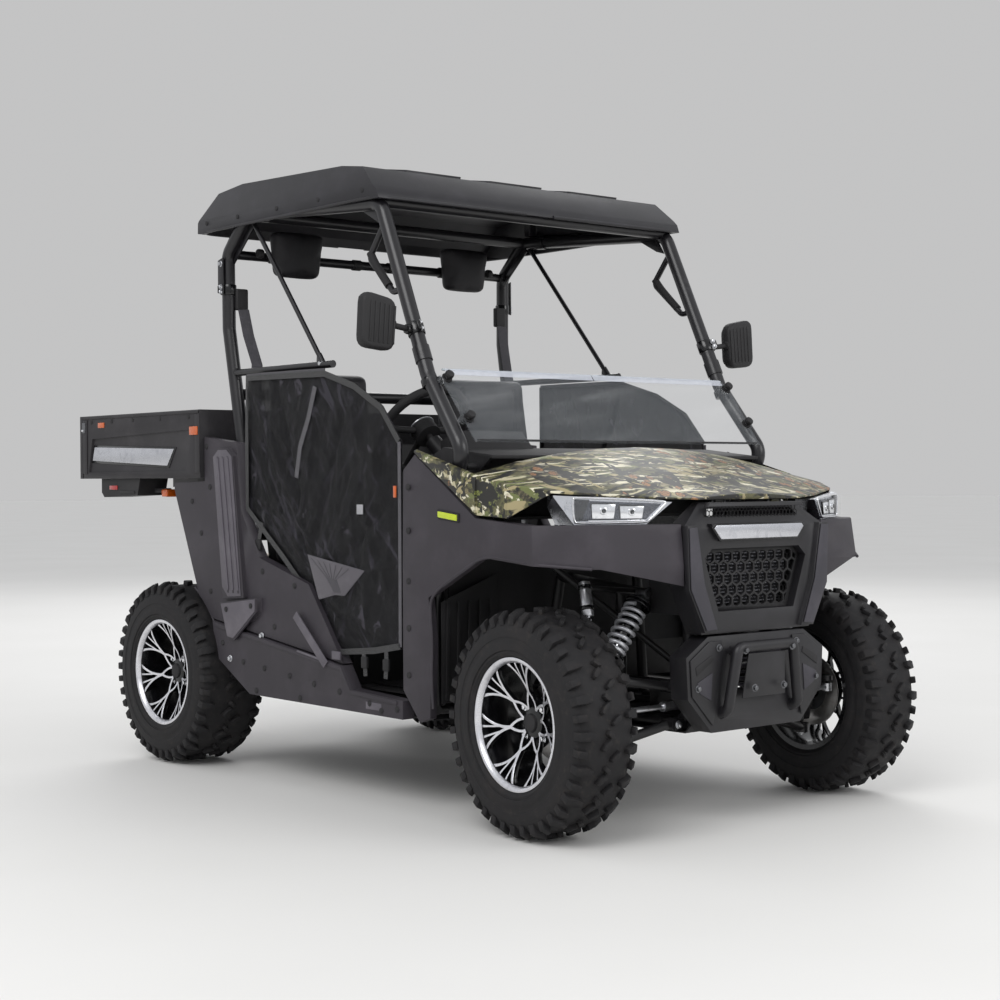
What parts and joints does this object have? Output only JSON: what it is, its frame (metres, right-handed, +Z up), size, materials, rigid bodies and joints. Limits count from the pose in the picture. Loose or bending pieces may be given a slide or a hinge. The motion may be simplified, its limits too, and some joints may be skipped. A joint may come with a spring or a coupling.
{
  "type": "side by side utility vehicle",
  "caption": "Off-road side by side vehicle with tube cage, hard roof, side nets, tilting cargo bed, drop tailgate, opening lid and steered wheels.",
  "frame": {"origin": "on the ground under the middle of the whole vehicle", "axes": "+Z up, nose towards -Y, the vehicle's right side at -X"},
  "size_m": [1.692, 2.9098, 2.019],
  "materials": {
    "frame_paint": "satin black",
    "cage_paint": "satin black",
    "black_plastic": "fine grain",
    "grip_plastic": "soft grip",
    "roof_plastic": "fine grain",
    "grey_plastic": "moulded charcoal grey",
    "hood_plastic": "mottled foliage greens and browns",
    "engine_metal": "dark cast metal",
    "exhaust_steel": "dull steel",
    "spring_steel": "bright steel",
    "radiator_metal": "black finned core",
    "rim_alloy": "machined faces with black pockets",
    "tyre": "rubber",
    "lamp_silver": "clear lens over bright reflectors",
    "lamp_red": "red lens",
    "clear_screen": "clear hard plastic",
    "seat_cover": "black cover",
    "net_fabric": "black mesh"
  },
  "bodies": {
    "chassis": {"main_rails": "frame_paint", "chassis_frame": "frame_paint", "hitch_receiver": "frame_paint", "skid_plate": "black_plastic", "floor_tub": "black_plastic", "seat_base": "black_plastic", "engine": "engine_metal", "drive_line": "engine_metal", "exhaust": "exhaust_steel", "front_arms": "frame_paint", "front_shocks": "spring_steel", "rear_arms": "frame_paint", "rear_shocks": "spring_steel", "steering_rack": "engine_metal", "steering_column": "frame_paint", "front_fenders": "grey_plastic", "rockers": "grey_plastic", "rear_side_panels": "grey_plastic", "fascia": "black_plastic", "grille": "black_plastic", "radiator": "radiator_metal", "bumper": "black_plastic", "headlights": "lamp_silver", "dashboard": "black_plastic", "windscreen": "clear_screen", "roll_cage": "cage_paint", "roof": "roof_plastic", "mirrors": "black_plastic", "headrests": "seat_cover", "seats": "seat_cover", "side_nets": "net_fabric"},
    "hood": {"hood": "hood_plastic"},
    "steering_wheel": {"steering_wheel": "grip_plastic"},
    "rack": {"tie_rods": "spring_steel"},
    "knuckle_right": {"knuckle_right": "engine_metal"},
    "knuckle_left": {"knuckle_left": "engine_metal"},
    "wheel_front_right": {"tyre_front_right": "tyre", "rim_front_right": "rim_alloy"},
    "wheel_front_left": {"tyre_front_left": "tyre", "rim_front_left": "rim_alloy"},
    "wheel_rear_right": {"tyre_rear_right": "tyre", "rim_rear_right": "rim_alloy"},
    "wheel_rear_left": {"tyre_rear_left": "tyre", "rim_rear_left": "rim_alloy"},
    "bed": {"cargo_bed": "grey_plastic", "tail_lamps": "lamp_red"},
    "tailgate": {"tailgate": "grey_plastic"}
  },
  "joints": [
    {"name": "steer_right", "type": "hinge", "parent": "chassis", "child": "knuckle_right", "pos_m": [-0.505, -1.12267, 0.322], "axis": [0, 0, 1], "range_deg": [-25.9, 34.1]},
    {"name": "steer_left", "type": "hinge", "parent": "chassis", "child": "knuckle_left", "pos_m": [0.505, -1.12267, 0.322], "axis": [0, 0, 1], "range_deg": [-25.9, 34.1]},
    {"name": "rack_slide", "type": "slide", "parent": "chassis", "child": "rack", "axis": [1, 0, 0], "range_m": [-0.05, 0.0658]},
    {"name": "steering_wheel_turn", "type": "hinge", "parent": "chassis", "child": "steering_wheel", "pos_m": [-0.365, -0.28467, 1.165], "axis": [0, 0.788, 0.6157], "range_deg": [-235, 309]},
    {"name": "spin_front_right", "type": "hinge", "parent": "knuckle_right", "child": "wheel_front_right", "pos_m": [-0.60075, -1.11581, 0.322], "axis": [0.9974, -0.0715, 0], "continuous": true},
    {"name": "spin_front_left", "type": "hinge", "parent": "knuckle_left", "child": "wheel_front_left", "pos_m": [0.60075, -1.12953, 0.322], "axis": [0.9974, -0.0715, 0], "continuous": true},
    {"name": "spin_rear_right", "type": "hinge", "parent": "chassis", "child": "wheel_rear_right", "pos_m": [-0.604, 0.78933, 0.322], "axis": [1, 0, 0], "continuous": true},
    {"name": "spin_rear_left", "type": "hinge", "parent": "chassis", "child": "wheel_rear_left", "pos_m": [0.604, 0.78933, 0.322], "axis": [1, 0, 0], "continuous": true},
    {"name": "hood_hinge", "type": "hinge", "parent": "chassis", "child": "hood", "pos_m": [0, -1.34467, 0.936], "axis": [1, 0, 0], "range_deg": [0, 50]},
    {"name": "bed_tip", "type": "hinge", "parent": "chassis", "child": "bed", "pos_m": [0, 1.18733, 0.962], "axis": [-1, 0, 0], "range_deg": [0, 40]},
    {"name": "tailgate_hinge", "type": "hinge", "parent": "bed", "child": "tailgate", "pos_m": [0, 1.43333, 1.006], "axis": [-1, 0, 0], "range_deg": [0, 90]}
  ],
  "couplings": [
    {"joint": "steer_left", "follows": "steer_right", "ratio": 1},
    {"joint": "rack_slide", "follows": "steer_right", "m_per_rad": 0.11},
    {"joint": "steering_wheel_turn", "follows": "steer_right", "ratio": 9}
  ]
}
